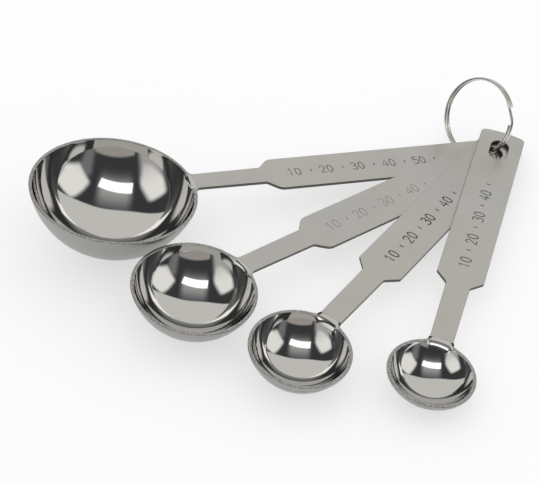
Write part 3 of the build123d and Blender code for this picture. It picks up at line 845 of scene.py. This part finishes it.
# The studio that metal sees: a pale wall behind that reaches overhead, a lamp with the
# haze round it, two side panels and a low strip in front, in a dim room. Places are
# degrees away from straight up, to the right and to the back
studio = {
    "radius": 2.6, "rings": 45, "spokes": 96,
    "room": 0.055, "wall": 0.74, "lamp": 1.9, "panel": 1.06, "strip": 0.42, "haze": 0.44,
    "leftTailLight": 0.5, "rightTailLight": 0.225,
    "cool": (0.965, 0.98, 1.035, 1), "warm": (1.0, 0.985, 0.945, 1), "tan": (1.0, 0.93, 0.86, 1),
    "wallEdge": 4.0, "wallBend": 0.0054, "wallTilt": -0.085,
    "waveCount": 0.085, "waveSize": 1.2, "wallSoft": 1.5,
    "hazeMiddle": -27.0, "hazeBehind": 24.0, "hazeBefore": 14.0,
    "fadeFrom": -60.0, "fadeTo": -22.0, "fadeLow": 0.42,
    "tintSpan": (0.08, 0.5), "leastLevel": 1e-5,
    "lampSoft": 1.2, "stripSoft": 2.5, "panelSoft": 4.5, "rightTailSoft": 6.0, "wideSoft": 7.0,
    "lampCorners": [(-20.0, -35.0), (27.0, -38.0), (30.0, -24.5), (-18.0, -20.5)],
    "hazeCorners": [(-19.0, -58.0), (29.0, -60.0), (27.0, 6.0), (-15.0, 8.0)],
    "leftCorners": [(-68.0, -24.0), (-52.0, -52.0), (-39.0, -57.0), (-30.0, -32.0), (-42.0, -2.0),
                    (-66.0, -1.0)],
    "leftTail": [(-66.0, -24.0), (-76.0, -62.0), (-48.0, -82.0), (-36.0, -84.0), (-32.0, -34.0)],
    "rightCorners": [(43.0, -25.0), (68.0, -40.0), (88.0, -18.0), (86.0, 20.0), (58.0, 16.0), (50.0, 0.0)],
    "rightTail": [(44.0, -34.0), (50.0, -80.0), (66.0, -66.0), (66.0, -24.0)],
    "stripCorners": [(-26.0, -73.0), (-32.0, -96.0), (62.0, -96.0), (48.0, -70.0)],
}


# The studio as the inside of a dome that lights nothing but metal. The angle from straight
# up is the arc cosine of the direction's height, and the two plan coordinates are its
# shares along the direction's level part. Each form goes over those before it
def domeMaterial(look):
    material, tree = startMaterial("studioDome")
    way = addNode(tree, "ShaderNodeTexCoord").outputs["Object"]
    unit = addNode(tree, "ShaderNodeVectorMath", {0: way}, operation="NORMALIZE").outputs[0]
    x, y, z = addNode(tree, "ShaderNodeSeparateXYZ", {0: unit}).outputs
    fromUp = calc(tree, "MULTIPLY", calc(tree, "ARCCOSINE", z), 180 / math.pi)
    level = calc(tree, "SQRT", calc(tree, "MULTIPLY_ADD", x, x, calc(tree, "MULTIPLY", y, y)))
    level = calc(tree, "MAXIMUM", level, look["leastLevel"])
    u = calc(tree, "MULTIPLY", calc(tree, "DIVIDE", x, level), fromUp)
    v = calc(tree, "MULTIPLY", calc(tree, "DIVIDE", y, level), fromUp)
    wave = calc(tree, "SINE", calc(tree, "MULTIPLY", u, look["waveCount"]))
    wave = calc(tree, "MULTIPLY", wave, look["waveSize"])
    wave = calc(tree, "MULTIPLY_ADD", u, look["wallTilt"], wave)
    edge = calc(tree, "MULTIPLY_ADD", calc(tree, "MULTIPLY", u, u), look["wallBend"], look["wallEdge"])
    pastWall = calc(tree, "SUBTRACT", v, calc(tree, "ADD", edge, wave))
    wall = ramp(tree, pastWall, -look["wallSoft"], look["wallSoft"])
    lampV = calc(tree, "ADD", v, -look["hazeMiddle"])
    lampV = calc(tree, "MAXIMUM", calc(tree, "MULTIPLY", lampV, 1 / look["hazeBehind"]),
                 calc(tree, "MULTIPLY", lampV, -1 / look["hazeBefore"]))
    away = calc(tree, "EXPONENT", calc(tree, "MULTIPLY", calc(tree, "MULTIPLY", lampV, lampV), -1.0))
    haze = calc(tree, "MULTIPLY", away, figureMask(tree, u, v, look["hazeCorners"], look["wideSoft"]))
    lamp = figureMask(tree, u, v, look["lampCorners"], look["lampSoft"])
    fade = ramp(tree, v, look["fadeFrom"], look["fadeTo"], look["fadeLow"], 1.0)
    left = calc(tree, "MULTIPLY", figureMask(tree, u, v, look["leftCorners"], look["panelSoft"]), fade)
    right = calc(tree, "MULTIPLY", figureMask(tree, u, v, look["rightCorners"], look["panelSoft"]), fade)
    leftTail = figureMask(tree, u, v, look["leftTail"], look["wideSoft"])
    rightTail = figureMask(tree, u, v, look["rightTail"], look["rightTailSoft"])
    strip = figureMask(tree, u, v, look["stripCorners"], look["stripSoft"])
    light = calc(tree, "MULTIPLY_ADD", haze, look["haze"], look["room"])
    forms = ((leftTail, look["leftTailLight"]), (rightTail, look["rightTailLight"]),
             (left, look["panel"]), (right, look["panel"]), (lamp, look["lamp"]),
             (strip, look["strip"]), (wall, look["wall"]))
    for mask, strength in forms:
        gap = calc(tree, "SUBTRACT", strength, light)
        light = calc(tree, "MULTIPLY_ADD", gap, mask, light)
    tint = mixColour(tree, ramp(tree, light, *look["tintSpan"]), look["cool"], look["warm"])
    tint = mixColour(tree, strip, tint, look["tan"])
    shine = addNode(tree, "ShaderNodeEmission", {"Color": tint, "Strength": light})
    endMaterial(tree, shine)
    return material


# Half a sphere over the floor: rings of points by their angle from straight up
def buildDome(look):
    rings, spokes = look["rings"], look["spokes"]
    fromUp = np.radians(np.linspace(90 / rings, 90, rings))[:, None]
    around = np.linspace(0, 2 * math.pi, spokes, endpoint=False)[None, :]
    grid = look["radius"] * np.stack([np.sin(fromUp) * np.cos(around), np.sin(fromUp) * np.sin(around),
                                      np.cos(fromUp) + 0 * around], axis=-1)
    points = np.concatenate([grid.reshape(-1, 3), [[0, 0, look["radius"]]]])
    faces = gridFaces(rings, spokes) + fanFaces(0, spokes, rings * spokes)
    dome = addMesh("studioDome", points, faces, domeMaterial(look))
    dome.visible_camera = False
    dome.visible_diffuse = False
    dome.visible_transmission = False
    dome.visible_shadow = False


# The world: plain white all round, at a strength of 1
def buildWorld():
    world = bpy.data.worlds.new("whiteSky")
    bpy.context.scene.world = world
    world.use_nodes = True
    tree = world.node_tree
    tree.nodes.clear()
    sky = addNode(tree, "ShaderNodeBackground", {"Color": (1, 1, 1, 1), "Strength": 1.0})
    outlet = tree.nodes.new("ShaderNodeOutputWorld")
    tree.links.new(sky.outputs[0], outlet.inputs["Surface"])


buildDome(studio)
buildWorld()
bpy.context.scene.view_settings.view_transform = "Standard"
print("stage: world")

# The camera: as high, as near and as turned as the photograph's
cameraView = {
    "place": (-0.00459, -0.29157, 0.26227), "down": 41.69, "roll": 3.18,
    "lens": 95.03, "sensor": 36.0, "near": 0.01, "far": 50.0,
}


def buildCamera(look):
    down, roll = math.radians(look["down"]), math.radians(look["roll"])
    ahead = np.array([0, math.cos(down), -math.sin(down)])
    right = np.array([1.0, 0, 0])
    above = np.cross(right, ahead)
    turnedRight = math.cos(roll) * right + math.sin(roll) * above
    turnedAbove = -math.sin(roll) * right + math.cos(roll) * above
    camera = bpy.data.cameras.new("camera")
    camera.sensor_width = look["sensor"]
    camera.sensor_fit = "HORIZONTAL"
    camera.lens = look["lens"]
    camera.clip_start = look["near"]
    camera.clip_end = look["far"]
    holder = bpy.data.objects.new("camera", camera)
    bpy.context.scene.collection.objects.link(holder)
    matrix = np.eye(4)
    matrix[:3, :3] = np.stack([turnedRight, turnedAbove, -ahead], axis=-1)
    matrix[:3, 3] = look["place"]
    holder.matrix_world = Matrix(matrix.tolist())
    bpy.context.scene.camera = holder


buildCamera(cameraView)
print("stage: camera")
